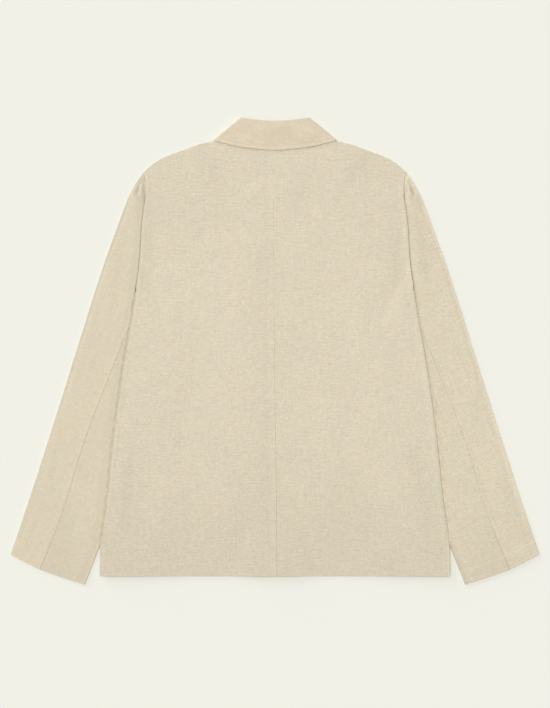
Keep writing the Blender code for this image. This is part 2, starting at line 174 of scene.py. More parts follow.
def span(a, b):
    return np.linalg.norm(b - a, axis=1)


def towards(a, b, by):
    """Points moved from a towards b."""
    return a + (b - a) * (by / span(a, b))[:, None]


def curve(rows, tangents, index, local, step):
    """Places on a smooth curve through rows, at local shares of the step after each index."""
    square, cube = local**2, local**3
    return (
        rows[index] * (2 * cube - 3 * square + 1)
        + tangents[index] * step * (cube - 2 * square + local)
        + rows[index + 1] * (3 * square - 2 * cube)
        + tangents[index + 1] * step * (cube - square)
    )


def smooth(table, places):
    """A table's second column at places in its first, on a smooth curve that never overshoots its rows."""
    xs, ys = np.array(sorted(table), float).T
    steps = np.diff(xs)
    slopes = np.diff(ys) / steps
    tangents = np.empty(len(xs))
    tangents[0], tangents[-1] = slopes[0], slopes[-1]
    for n in range(1, len(xs) - 1):
        before, after = slopes[n - 1], slopes[n]
        near, far = 2 * steps[n] + steps[n - 1], steps[n] + 2 * steps[n - 1]
        tangents[n] = 0 if before * after <= 0 else (near + far) / (near / before + far / after)
    places = np.clip(np.asarray(places, float), xs[0], xs[-1])
    index = np.clip(np.searchsorted(xs, places) - 1, 0, len(xs) - 2)
    return curve(ys, tangents, index, (places - xs[index]) / steps[index], steps[index])


def along(table, shares):
    """Points at shares of the way along a smooth line through a table of points of any width."""
    rows = np.array(table, float)
    arc = arc_of(rows[:, :2])
    targets = np.asarray(shares, float) * arc[-1]
    index = np.clip(np.searchsorted(arc, targets) - 1, 0, len(rows) - 2)
    spans = np.diff(arc)
    tangents = np.empty_like(rows)
    tangents[0] = (rows[1] - rows[0]) / spans[0]
    tangents[-1] = (rows[-1] - rows[-2]) / spans[-1]
    tangents[1:-1] = (rows[2:] - rows[:-2]) / (arc[2:] - arc[:-2])[:, None]
    step = spans[index][:, None]
    return curve(rows, tangents, index, (targets - arc[index])[:, None] / step, step)


def outside(x, y, corners):
    """How far points lie outside a region, below 0 inside it."""
    found = np.full(np.broadcast(x, y).shape, -np.inf)
    for (ax, ay), (bx, by) in zip(corners, corners[1:] + corners[:1]):
        length = dist((ax, ay), (bx, by))
        found = np.maximum(found, ((x - ax) * (by - ay) - (y - ay) * (bx - ax)) / length)
    return found


def steps_between(start, end, near_start, near_end, step):
    """Places from start to end: the given distances from either end, and about one step apart in between."""
    first = [start + d for d in near_start]
    last = [end - d for d in near_end][::-1]
    count = max(int(round((last[0] - first[-1]) / step)), 1)
    middle = np.linspace(first[-1], last[0], count + 1)[1:-1]
    return np.array([*first, *middle, *last])


def turned_rows(width):
    """Distances from an edge that is turned up by this width and sewn."""
    return (*TURNED, *(width + about for about in ABOUT))


def shares_across(widths, near_start, near_end, count, crowd=1):
    """For rows of these widths, shares across: the given distances from either end and count more between,
    closer together near the start if crowd is over 1."""
    first = np.array(near_start) / widths[:, None]
    last = 1 - np.array(near_end)[::-1] / widths[:, None]
    middle = np.linspace(0, 1, count + 2)[1:-1] ** crowd
    return np.hstack([first, first[:, -1:] + middle * (last[:, :1] - first[:, -1:]), last])


# Distances from an edge where a sheet's lines of points lie, close together at its rim and its stitches
RIM = (0, 0.7, 1.3, 1.8, 2.4, 3.2, 4.4, 5.4, 6, 6.6, 7.6, 9.5, 12)
TURNED = (0, 0.7, 1.4, 2.4, 4, 7, 11, 15)  # then ABOUT, round the stitches of the turning
ABOUT = (-3.5, -1.4, -0.6, 0, 0.6, 1.2, 2, 3.5, 6)
TURNED_STITCHES = len(TURNED) + ABOUT.index(0)

CENTRED = (0, 0.7, 1.4, 2.4, 3.6, 5, 6.5, 8.5, 11, 12.4, 13, 13.6, 15, 17.5)
# Turns round a fold, from over to under
FOLD_TURNS = np.radians((67.5, 45, 22.5, 0, -22.5, -45, -67.5, -90))

# Soft ridges and troughs, and broad bands, with painted light and shade along them: (from x, y, to x, y, half
# its width, its height, its grey levels of painted light, darker below 0)
BACK_MARKS = (
    (-200, 241, -199, 98, 10, -0.35, -3), (190, 228, 197, 98, 10, -0.35, -3),
    (-168, 262, -158, 160, 44, 0.1, -2.2), (-110, 282, -96, 200, 50, 0.1, -2),
    (110, 290, 120, 215, 44, 0.1, -1.2), (-100, 165, -92, 20, 52, 0.2, 1), (104, 165, 96, 25, 50, 0.2, 1.2),
    (150, 140, 158, 112, 16, 0.2, 1.8), (204, 122, 212, 72, 12, 0, -3.2), (40, 300, 62, 230, 22, 0.1, -1.4),
    (-14, 268, -12, -330, 24, -0.2, -2.2), (26, 228, 24, 150, 22, 0, 0.9), (20, 60, 26, -90, 20, -0.1, -0.8),
    (-148, 66, -150, 16, 8, -0.3, -1.8), (148, 92, 146, 16, 8, -0.3, -1.8),
    (-212, -84, -214, -136, 10, -0.2, -1.2), (192, 12, 190, -96, 11, -0.2, -1.2),
    (-228, -155, -238, -282, 10, -0.5, -2.8), (226, -155, 250, -282, 10, -0.5, -2.8),
    (-262, -60, -262, -250, 12, 0.3, 1.2), (-182, -180, -190, -280, 20, 0.3, 2.8),
    (-120, -190, -60, -270, 40, 0.2, 1.2), (78, -50, 84, -220, 26, 0.2, 1.5),
    (120, -150, 190, -250, 24, 0.3, 1.6), (-62, -190, -40, -330, 26, -0.2, -1.2),
    (46, -210, 40, -310, 20, 0, 1.2), (-30, -330, -50, -352, 26, 0, -1.8),
    (150, -330, 200, -345, 30, 0, -1.6), (18, 318, 44, 300, 14, 0.2, 2.2), (112, 305, 150, 300, 16, -0.2, -1),
    (-128, 312, -90, 296, 14, -0.2, -1.6), (-164, 286, -100, 300, 24, 0, -1.2),
    (150, 300, 196, 280, 20, 0, -2.2), (196, 284, 204, 268, 14, 0, -1.6), (-44, 222, -6, 282, 12, -0.1, -2.6),
    (262, -290, 266, -345, 12, 0, -1.8), (-262, -290, -264, -345, 12, 0, -1.4),
    (30, -318, 34, -352, 12, 0, 1.8),
)
FRONT_MARKS = (
    (-176, 190, -150, 40, 14, 0.22, 2), (-120, 150, -104, -40, 26, -0.16, -1.6),
    (-58, 60, -70, -150, 18, 0.2, 1.6), (-150, -60, -190, -210, 16, 0.22, 2.2),
    (-96, -170, -60, -300, 22, -0.16, -2), (-206, -190, -222, -300, 10, -0.14, -2.4),
    (64, 205, 120, 120, 15, 0.2, 1.8), (150, 150, 148, 10, 12, -0.15, -2.2),
    (92, 20, 70, -120, 20, 0.22, 1.8), (176, -40, 204, -190, 14, 0.2, 2),
    (120, -150, 150, -290, 24, -0.16, -1.8), (50, -190, 44, -310, 14, 0.18, 1.4),
)
COLLAR_MARKS = (
    (-22, 345, 26, 348, 9, -0.3, -3.4), (-66, 350, -44, 368, 8, 0.25, 2.6), (40, 362, 66, 348, 8, 0.25, 2.2),
    (-34, 355, -30, 340, 6, -0.2, -2.6), (-8, 334, 16, 335, 4, -0.1, -1.8),
    (-52, 339, -28, 335, 5, 0.15, 1.8), (58, 340, 70, 342, 6, -0.15, -1.8), (6, 362, 20, 360, 5, 0.15, 1.4),
    (-18, 364, 14, 363, 5, 0.1, 2.4),
)
SLEEVE_MARKS = {
    -1: (
        (248, 148, 254, 86, 8, -0.3, -2), (281, 66, 284, 14, 9, -0.3, -1.8),
        (322, -16, 330, -50, 9, -0.1, -2.2), (338, -60, 345, -130, 9, -0.2, -1.6),
        (262, 96, 300, -30, 7, 0.3, 1.2), (322, -170, 292, -210, 10, -0.2, -1),
        (352, -115, 402, -300, 16, 0.1, -2.8), (388, -200, 408, -318, 14, 0, -2.4),
        (330, -250, 346, -345, 16, 0, -2), (350, -240, 372, -330, 22, 0, -2),
        (340, -150, 364, -240, 18, 0, -1.4), (296, 30, 316, -40, 12, 0, -2.4),
        (246, 200, 262, 150, 9, 0, -2.2),
    ),
    1: (
        (240, 150, 250, 100, 8, -0.3, -1.8), (222, 222, 236, 140, 15, 0, -4.2),
        (328, -70, 334, -118, 9, -0.4, -2.6), (292, 20, 306, -30, 8, -0.2, -1.2),
        (290, 60, 352, -150, 7, 0.3, 1.2), (352, -225, 372, -300, 10, 0.3, 0.4),
        (366, -195, 392, -290, 16, 0, -2.6), (396, -290, 412, -318, 14, 0, -2),
        (316, -280, 336, -340, 20, 0, -1.8), (300, -200, 318, -270, 14, 0, -0.8),
        (346, -250, 366, -330, 20, 0, -2.6), (300, -330, 306, -365, 12, 0, -2.4),
    ),
}
# Under the arms
LOWER_SLEEVE_MARKS = (
    (216, 190, 240, 110, 9, 0.4, 2), (262, 60, 286, -20, 10, 0.45, 2.2), (238, 20, 262, -90, 7, 0.3, -2.2),
    (318, -70, 330, -160, 9, 0.4, 2), (282, -150, 306, -250, 8, 0.35, -2.4),
    (366, -190, 384, -290, 10, 0.4, 1.8), (330, -260, 344, -330, 9, 0.3, -1.8),
)
# The gathered cloth at the top of the sleeve: two ridges with a pinched hollow between them, with painted
# shade in the hollow and painted light on the ridge
HEAD_MARKS = (
    (213.6, 274, 218.2, 260, 2.4, -0.8, -12), (217.6, 260, 221.6, 250, 3.3, -1.2, -21),
    (210.6, 267, 209.8, 248, 1.8, -0.2, -12), (213.4, 266, 216, 247, 1.7, 0.5, 6),
    (221.4, 248.5, 217.6, 243.5, 2.5, -0.5, -15), (223.5, 270, 230, 240, 3, 0.3, 1),
)

# ---- Heights of the layers ----

# Where each rise is whole and where it ends, by distance or height
SLEEVE_SPREAD = (2, 36)  # beside a sleeve
BUTTON_SPREAD = (11, 27)  # round a button
WING_SPREAD = (14, 40)  # round the collar's front
LAP_SPREAD = (PLACKET, 27)  # past the edge of the right front
CROWN_WIDE, CROWN_LONG = (12, 80), (250, 305)  # over the button stand, below the neck
TAUT_WIDE, TAUT_LONG = (12, 150), (170, 325)  # over the whole back
COLLAR_SPREAD = (30, 66)
ARM_SPREAD = (2, 170)
TAUT, OVER_ARMS = 4, 3.4  # how far the taut back stands up, in its middle and over the sleeves


def sleeve_rise(x, y):
    return 2 * LEVEL * ramp(outside(abs(x), y, OVER_SLEEVE), *SLEEVE_SPREAD)


def dome_rise(x, y):
    nearest = np.min([np.hypot(x, y - place) for place in BUTTON_PLACES], axis=0)
    return (BUTTON_HIGH + SEAM_GAP) * ramp(nearest, *BUTTON_SPREAD)


def front_height(x, y):
    wing = LEVEL * ramp(outside(abs(x), y, WING), *WING_SPREAD)
    return REST + np.maximum(np.maximum(wing, dome_rise(x, y)), sleeve_rise(x, y))


def lapped_height(x, y):
    return front_height(x, y) + LEVEL * ramp(x, *LAP_SPREAD)


def back_height(x, y, from_side):
    """The back lies like a taut sheet over the button stand and the sleeves, and meets the armholes low."""
    crown = (LEVEL + BUTTON_HIGH + SEAM_GAP) * ramp(abs(x), *CROWN_WIDE) * ramp(y, *CROWN_LONG)
    wide = TAUT * (0.55 + 0.45 * ramp(abs(x), *TAUT_WIDE))
    wide = wide * ramp(y, *TAUT_LONG) * ramp(y, HEM + 130, HEM - 10)
    collar = STAND_DEEP * ramp(outside(abs(x), y, WING), *COLLAR_SPREAD)
    over_arms = OVER_ARMS * ramp(outside(abs(x), y, OVER_SLEEVE), *ARM_SPREAD)
    low_edge = 1 - ramp(from_side, 0, 95) * ramp(y, 100, -60)
    taut = np.maximum(wide * ramp(from_side, 75, -25), over_arms) * low_edge
    return REST + LEVEL + np.maximum(np.maximum(np.maximum(crown, collar), sleeve_rise(x, y)), taut)


# ---- A sheet of points, closed into a shell ----


class Sheet:
    """Grids of points joined at shared columns. lift is how much thicker the cloth is on its upper side, and
    tone is painted light and shade: its colour made lighter or darker along seams, folds, creases and edges,
    and in broad bands. right_side is 1, or -1 where it faces the floor."""

    def __init__(self, side=1):
        self.side = side
        self.right_side = 1
        self.points = np.empty((0, 3))
        self.grain = np.empty((0, 2))
        self.lift = np.empty(0)
        self.tone_and_painted_shading = np.empty(0)
        self.faces = np.empty((0, 4), int)

    def grid(self, points, lift, joined=None, tone_and_painted_shading=1, grain=None):
        """Adds rows of points, given for the right-hand side, and gives the whole rows' numbers. joined is a
        column already there on their left. grain is their places along the weave, or else x and y."""
        shape = points.shape[:2]
        index = len(self.points) + np.arange(shape[0] * shape[1]).reshape(shape)
        self.points = np.vstack([self.points, (points * (self.side, 1, 1)).reshape(-1, 3)])
        grain = points[:, :, :2] if grain is None else grain
        self.grain = np.vstack([self.grain, (grain * (self.side, 1)).reshape(-1, 2)])
        self.lift = np.append(self.lift, np.broadcast_to(lift, shape))
        self.tone_and_painted_shading = np.append(self.tone_and_painted_shading, np.broadcast_to(tone_and_painted_shading, shape))
        if joined is not None:
            index = np.hstack([joined[:, None], index])
        a, b, c, d = index[:-1, :-1], index[:-1, 1:], index[1:, 1:], index[1:, :-1]
        corners = (a, b, c, d) if self.side > 0 else (a, d, c, b)
        self.faces = np.vstack([self.faces, np.stack(corners, axis=2).reshape(-1, 4)])
        return index

    def crossed(self):
        """Each face's way out, as long as twice its area."""
        a, b, c, d = (self.points[corner] for corner in self.faces.T)
        return np.cross(c - a, d - b)

    def normals(self):
        found = np.zeros_like(self.points)
        across = self.crossed()
        for corner in self.faces.T:
            np.add.at(found, corner, across)
        return unit(found)

    def shell(self):
        """Points, faces, grain and painted light and shade of the closed shell: both sides, and a rounded rim
        at every edge.
        """
        normals = self.normals()
        half = CLOTH / 2
        edges = {}
        for face in self.faces:
            for a, b in zip(face, np.roll(face, -1)):
                if not edges.pop((b, a), False):
                    edges[(a, b)] = True
        ends = np.array(list(edges))
        outward = np.zeros_like(self.points)
        ways = np.cross(self.points[ends[:, 1]] - self.points[ends[:, 0]], normals[ends[:, 0]])
        np.add.at(outward, ends[:, 0], ways)
        np.add.at(outward, ends[:, 1], ways)
        rim = np.unique(ends)
        outward[rim] = unit(outward[rim])
        centre = self.points - outward * RIM_DEEP
        count = len(self.points)
        upper = half + self.lift
        layers = [centre + normals * upper[:, None], centre - normals * half]
        faces = [self.faces, self.faces[:, ::-1] + count]
        place = np.zeros(count, int)
        place[rim] = np.arange(len(rim))
        rings = [ends]
        for number, turn in enumerate(RIM_TURNS):
            high = np.where(turn > 0, upper[rim], half) * sin(turn)
            out = centre[rim] + outward[rim] * RIM_DEEP * cos(turn)
            layers.append(out + normals[rim] * high[:, None])
            rings.append(2 * count + number * len(rim) + place[ends])
        rings.append(ends + count)
        for near, far in zip(rings, rings[1:]):
            faces.append(np.stack([near[:, 1], near[:, 0], far[:, 0], far[:, 1]], axis=1))
        rims = len(RIM_TURNS)
        grain = np.vstack([self.grain, self.grain] + [self.grain[rim]] * rims)
        tone_and_painted_shading = np.concatenate([self.tone_and_painted_shading, np.ones(count)] + [self.tone_and_painted_shading[rim]] * rims)
        return np.vstack(layers), np.vstack(faces), grain, tone_and_painted_shading

    def outer(self, vertices):
        """Points on the right side at some of the sheet's vertices, with the ways out of the cloth there."""
        ways = self.normals()[vertices] * self.right_side
        out = CLOTH / 2 + max(self.right_side, 0) * self.lift[vertices]
        return self.points[vertices] + ways * out[:, None], ways


RIM_DEEP = 0.3
RIM_TURNS = np.radians((50, 0, -50))
GREY = 2.2 / 206  # what one grey level of the picture is, as a share of the cloth's colour
SEAM_LINE = 0.9  # half the width of the line along a seam or an edge
CALM = 30  # from an edge to where the cloth lies free


def creases_and_shade(x, y, marks):
    """(height, painted light and shade) of soft ridges and troughs, each drawn along a line and fading
    towards its ends.
    """
    height, tone_and_painted_shading = np.zeros(x.shape), np.zeros(x.shape)
    for x0, y0, x1, y1, wide, high, grey in marks:
        length = dist((x0, y0), (x1, y1))
        along_it = ((x - x0) * (x1 - x0) + (y - y0) * (y1 - y0)) / length**2
        off = np.abs((x - x0) * (y1 - y0) - (y - y0) * (x1 - x0)) / length
        fade = np.exp(-((off / wide) ** 2)) * ease((along_it + 0.35) / 0.6) * ease((1.35 - along_it) / 0.6)
        height = height + high * fade
        tone_and_painted_shading += grey * fade
    return height, tone_and_painted_shading * GREY


def mark(distance, place, wide, grey):
    """A line of painted light and shade along a seam, fold or edge, in grey levels: lighter above 0, darker
    below.
    """
    return GREY * grey * np.exp(-(((distance - place) / wide) ** 2))


def groove(distance, place, depth):
    """A line sunk into the cloth by its stitches."""
    return -depth * np.exp(-(((distance - place) / SEAM_LINE) ** 2))


def turning(distance, width, thick):
    """The second layer of a hem or seam allowance, with a soft step at its raw edge."""
    return thick * ramp(distance, width - 0.4, width + 1.4)


# ---- Body panels ----


def panel_grid(start, edge, neck, near_start, near_end):
    """Half widths and heights of a panel's points: straight rows, then rows bent up to neck and shoulder."""
    straight = steps_between(HEM, BEND, turned_rows(HEM_TURN), (0,), 4)
    bends = steps_between(0, 1, (0.02,), np.array(RIM) / 170, 0.022)
    heights = np.concatenate([straight, BEND + bends * (SHOULDER_TIP - BEND)])
    bend = np.concatenate([np.zeros(len(straight)), bends])[:, None]
    count = len(steps_between(0, 250, near_start, near_end, 4)) - len(near_start) - len(near_end)
    share = np.linspace(0, 1, count + 2)[1:-1]

    def columns(at):
        near = start(at)[:, None] + np.array(near_start)
        far = edge(at)[:, None] - np.array(near_end)[::-1]
        return np.hstack([near, near[:, -1:] + share * (far[:, :1] - near[:, -1:]), far])

    x = columns(heights)
    top = columns(heights[-1:])[0]
    reach = np.where(top <= NECK_POINT, smooth(neck, np.abs(top)), smooth(SHOULDER, top))
    return x, np.where(bend > 0, BEND + bend * (reach - BEND), heights[:, None])


FOLD_EASE = 8  # the height in which the edge goes from the seam to the fold
LEAST_WRAP = 0.9
DRAWN_IN = 0.9  # how much the edge near the hem is drawn in

# Painted shade and light along the back's edges, by side, where they stand over the sleeves and round the
# side fold: (from the edge, half its width, its grey levels, then the heights where it starts, is whole, ends
# being whole, and ends)
SIDE_MARKS = {
    -1: (
        (0, 0.9, -11, -400, -380, 240, 262), (0, 1.8, -7, -318, -288, 60, 120),
        (0, 1.2, 2, -400, -380, -318, -288), (0, 1, -8, 72, 84, 94, 99),
    ),
    1: (
        (0, 0.9, -16, 60, 120, 260, 276), (0, 1.8, -3, -318, -288, 60, 120),
        (0, 1.2, 10, -400, -380, -318, -288), (1.5, 3, -3.5, -318, -288, -150, -60),
        (1.2, 1.6, -6, 130, 170, 240, 262), (0, 1.7, -10, 236, 246, 262, 274),
    ),
}
WRAP_GREY = {-1: 0, 1: 10}  # painted light on the fold near the hem, where it faces away from the light


def side_edge(y):
    """The back's last flat column: along the armhole seam, then along the start of the side fold."""
    at_seam, at_fold = SEWN_GAP / 2, FOLD_RADIUS + CLOTH / 2
    folded = ramp(y, SIDE_START, SIDE_START + FOLD_EASE)
    return smooth(SIDE_LINE, y) - at_seam - (at_fold - at_seam) * folded - DRAWN_IN * ramp(y, -320, -270)


def back_panel(side):
    def start(y):
        return side * smooth(CENTRE_SEAM, y) + SEWN_GAP / 2

    sheet = Sheet(side)
    x, y = panel_grid(start, side_edge, BACK_NECK, CENTRED, RIM)
    from_centre, from_hem, from_side = x - start(y), y - HEM, side_edge(y) - x
    z = back_height(x, y, from_side)
    lift = turning(from_hem, HEM_TURN, 0.35) + groove(from_hem, HEM_TURN, 0.25) + 0.3 * ramp(from_side, 5, 9)
    high, tone_and_painted_shading = creases_and_shade(side * x, y, BACK_MARKS)
    calm = ramp(-outside(x, y, WING), -30, -4) * ease(from_hem / CALM) * ease(from_side / CALM)
    z = z + (0.4 + high) * calm
    # Painted shade, darker towards the hem; painted light along the centre seam, beside the side edge and on
    # the hem's rim
    hem_shade = 5.2 * ramp(y, -360, 20) ** 1.3
    centre = 7 + 4 * ease(y / 90) + 9 * ease((y - 262) / 40)
    tone_and_painted_shading = 1 + tone_and_painted_shading - GREY * hem_shade + mark(from_centre, 0, SEAM_LINE, centre)
    tone_and_painted_shading += mark(from_side, 3.5, 2.5, 1.2) + mark(from_hem, 0, SEAM_LINE, 12)
    for place, wide, grey, *heights in SIDE_MARKS[side]:
        tone_and_painted_shading += mark(from_side, place, wide, grey) * between(y, *heights)
    # Painted shade in the pinch at the top of the right armhole; on the left, painted light on the centre
    # seam's allowance and painted shade along its stitches
    if side > 0:
        tone_and_painted_shading += mark(np.hypot(from_side, y - 249), 0, 3, -14)
    else:
        lift = lift + turning(from_centre, CENTRE_STITCH, 0.2) + groove(from_centre, CENTRE_STITCH, 0.12)
        tone_and_painted_shading += mark(from_centre, 4.5, 2.6, 2.2) + mark(from_centre, CENTRE_STITCH, 1.2, -0.8)
    points = np.stack([x, y, z], axis=2)
    index = sheet.grid(points, lift, tone_and_painted_shading=tone_and_painted_shading)

    # Round the side fold, and under it as far as the side seam
    low = int(np.searchsorted(y[:, -1], SIDE_START))
    edge_x, edge_y, edge_z = points[:low, -1].T
    climb = np.clip((edge_y - UNDERARM) / (SIDE_START - UNDERARM), 0, 1)
    seam = smooth(FRONT_EDGE, np.minimum(edge_y, UNDERARM)) + APART
    top = smooth(SIDE_LINE, SIDE_START) - 2.2
    seam = np.minimum(seam + climb * (top - seam), edge_x - LEAST_WRAP)
    wrap = [
        (edge_x + FOLD_RADIUS * cos(turn), edge_y, edge_z - FOLD_RADIUS * (1 - sin(turn)))
        for turn in FOLD_TURNS
    ]
    for share in np.linspace(0, 1, 12)[1:]:
        wrap.append((edge_x + (seam - edge_x) * share, edge_y, edge_z - LEVEL))
    wrap = np.stack([np.stack(column, axis=1) for column in wrap], axis=1)
    past = np.abs(wrap[:, :, 0] - edge_x[:, None])
    past[:, len(FOLD_TURNS):] += pi * FOLD_RADIUS
    wrap_grain = np.stack([edge_x[:, None] + past, wrap[:, :, 1]], axis=2)
    wrap_shade = tone_and_painted_shading[:low, -1:] + GREY * WRAP_GREY[side] * ramp(y[:low, -1:], -318, -288)
    sheet.grid(wrap, lift[:low, -1:], index[:low, -1], wrap_shade, wrap_grain)
    lines = {"hem": index[TURNED_STITCHES]}
    if side < 0:
        lines["centre"] = index[:, CENTRED.index(CENTRE_STITCH)]
    return sheet, lines


def front_panel(side):
    def start(y):
        return np.full(np.shape(y), -PLACKET)

    def edge(y):
        return smooth(FRONT_EDGE, y)

    sheet = Sheet(side)
    x, y = panel_grid(start, edge, FRONT_NECK, RIM, RIM)
    z = RAISED + (lapped_height(x, y) if side > 0 else front_height(x, y))
    high, tone_and_painted_shading = creases_and_shade(side * x, y, FRONT_MARKS)
    calm = ease((x - start(y)) / CALM) * ease((edge(y) - x) / CALM) * ease((y - HEM) / CALM)
    z = z + np.maximum(high, -0.08) * calm
    sheet.right_side = -1
    index = sheet.grid(np.stack([x, y, z], axis=2), 0, tone_and_painted_shading=1 + tone_and_painted_shading)
    return sheet, {"hem": index[TURNED_STITCHES], "placket": index[:, RIM.index(TOP_STITCH)]}


# ---- Sleeves ----

SLEEVE_LENGTHS = [arc_of(table)[-1] for table in (SLEEVE_OUTER, SLEEVE_INNER, ELBOW_SEAM)]
SLEEVE_TILT = radians(19)
HEAD_BOW_END = 0.26  # share of the inner fold's length that bows with the armhole
CUFF_BOW, CUFF_BOW_END = 1.4, 75
UNDER_TURN = 8  # how far from the inner fold the top sleeve ends underneath
SLEEVE_TURNS = FOLD_TURNS[:-1]
ROUND_FOLD = np.array((1, 1, 1, 0.9, 0.6, 0.3, 0))  # how much of the cuff's thickness goes round the fold
# The sleeve puffs over its gathers: by this much, round this point, whole and ending at these distances
PUFFED, PUFF_X, PUFF_Y, PUFF_SPREAD = 1.25, 219, 260, (14, 42)
# Heights of the points along the armhole, from its top
HEAD_UPPER = (279, 272, 265.5, 252.3, 239, 219.8, 200, 183.7, 150, 126, 104, 97.6)
HEAD_LOWER = (279, 272, 265.5, 252.3, 239, 219.8, 183.7, 150, 104, 75)
# Painted shade and light near the sleeve's folds, by side, evening out the light that falls from the upper
# left
OUTER_SHADE = {-1: (-9.5, 280, 120), 1: (8.5, 90, 30)}  # grey levels, then where whole and where none
INNER_SHADE = {-1: ((6, 4, -4), (0, 1.6, 4)), 1: ((1, 5, -9),)}  # from the fold, half its width, grey levels
ELBOW_GREY = {-1: 0, 1: -14}  # painted shade at the elbow seam's end by the cuff
OUTER_FOLD_GREY, INNER_FOLD_GREY = {-1: 0, 1: 8}, {-1: 7, 1: 0}  # painted light round the folds


def sleeve_rows():
    """Shares of the way down the outer fold, the inner fold and the elbow seam, for rows from the cuff up
    that end square to them, and how far each row is from the cuff."""
    short = SLEEVE_LENGTHS[1]
    left = steps_between(0, short, turned_rows(CUFF_TURN), RIM, 3.6)
    unequal = ease(left / short / 0.45)
    return [1 - left * (1 + unequal * (length / short - 1)) / length for length in SLEEVE_LENGTHS], left


def inset(table, shares, by):
    """Points on a fold line, each moved square to it: to the right of the way down if by is above 0."""
    ahead, behind = along(table, np.minimum(shares + 0.004, 1)), along(table, np.maximum(shares - 0.004, 0))
    way = unit(ahead - behind)
    return along(table, shares) + np.stack([way[:, 1], -way[:, 0]], axis=1) * by


def sleeve_layer(starts, ends, head, columns, left, cuff_from, cuff_to):
    """Rows of points between two lines down the sleeve, bowed as the armhole above and as the cuff below."""
    points = starts[:, None] + (ends - starts)[:, None] * columns[:, :, None]
    if head:
        bowed = along(head, columns.ravel()).reshape(points.shape)
        chord = starts[-1] + (ends[-1] - starts[-1]) * columns[:, :, None]
        bow = (1 - np.minimum((1 - left / left[-1]) / HEAD_BOW_END, 1)) ** 2
        points = points + bow[:, None, None] * (bowed - chord)
    share = cuff_from[:, None] + (cuff_to - cuff_from)[:, None] * columns
    points[:, :, 1] -= CUFF_BOW * np.maximum(0, 1 - left / CUFF_BOW_END)[:, None] * np.sin(pi * share)
    return points


def sleeve_grain(points, fold=None):
    """Coordinates along the weave: the threads run down the sleeve. Cloth may be turned under at a fold."""
    x, y = points[:, :, 0], points[:, :, 1]
    across = x * cos(SLEEVE_TILT) + y * sin(SLEEVE_TILT)
    if fold is not None:
        across = 2 * sleeve_grain(fold[:, None])[:, :, 0] - across
    return np.stack([across, y * cos(SLEEVE_TILT) - x * sin(SLEEVE_TILT)], axis=2)


def level(points, height):
    return np.concatenate([points, np.broadcast_to(height, points.shape[:2])[:, :, None]], axis=2)


def fold_grid(table, shares, way):
    """Points round a fold, from the layer above to the one below."""
    found = []
    for turn in SLEEVE_TURNS:
        by = CLOTH / 2 + FOLD_RADIUS * (1 - cos(turn))
        flat = inset(table, shares, way * by)
        found.append(np.hstack([flat, np.full((len(flat), 1), REST + FOLD_RADIUS * (1 + sin(turn)))]))
    return np.stack(found, axis=1)


def sleeve_lines():
    (outer_shares, inner_shares, elbow_shares), left = sleeve_rows()
    by = CLOTH / 2 + FOLD_RADIUS
    outer, inner = inset(SLEEVE_OUTER, outer_shares, by), inset(SLEEVE_INNER, inner_shares, -by)
    return outer_shares, inner_shares, outer, inner, along(ELBOW_SEAM, elbow_shares), left


def armhole_head(start, table, heights, gap, end):
    return [tuple(start)] + [(float(smooth(table, y)) + gap, y) for y in heights] + [end]


def cuff_lift(left):
    return (turning(left, CUFF_TURN, 0.4) + groove(left, CUFF_TURN, 0.3))[:, None]


def sleeve_lift_and_shade(side, points, left, from_fold):
    """Height and painted light and shade of the upper layer: it rises beside the body, and sinks close to it,
    where painted shade darkens it; its cuff's rim gets painted light.
    """
    x, y = points[:, :, 0], points[:, :, 1]
    clear = x - smooth(SIDE_LINE, y)
    high, tone_and_painted_shading = creases_and_shade(x, y, SLEEVE_MARKS[side])
    head, head_shade = creases_and_shade(x, y, HEAD_MARKS)
    puffed = PUFFED * ramp(np.hypot((x - PUFF_X) * 1.3, y - PUFF_Y), *PUFF_SPREAD)
    free = ease((clear - 1) / 12) * ease(from_fold / 20) * ease((left[:, None] + 4) / 24)
    high = (1 + high) * free + (puffed + head) * ease(clear / 5) * ease(from_fold / 6)
    tone_and_painted_shading = 1 + tone_and_painted_shading + head_shade + mark(left, 0, SEAM_LINE, 7)[:, None]
    return np.maximum(high, -0.3), tone_and_painted_shading + mark(np.maximum(clear, 0), 0, 1.6, smooth(TUCKED_SHADE[side], y))


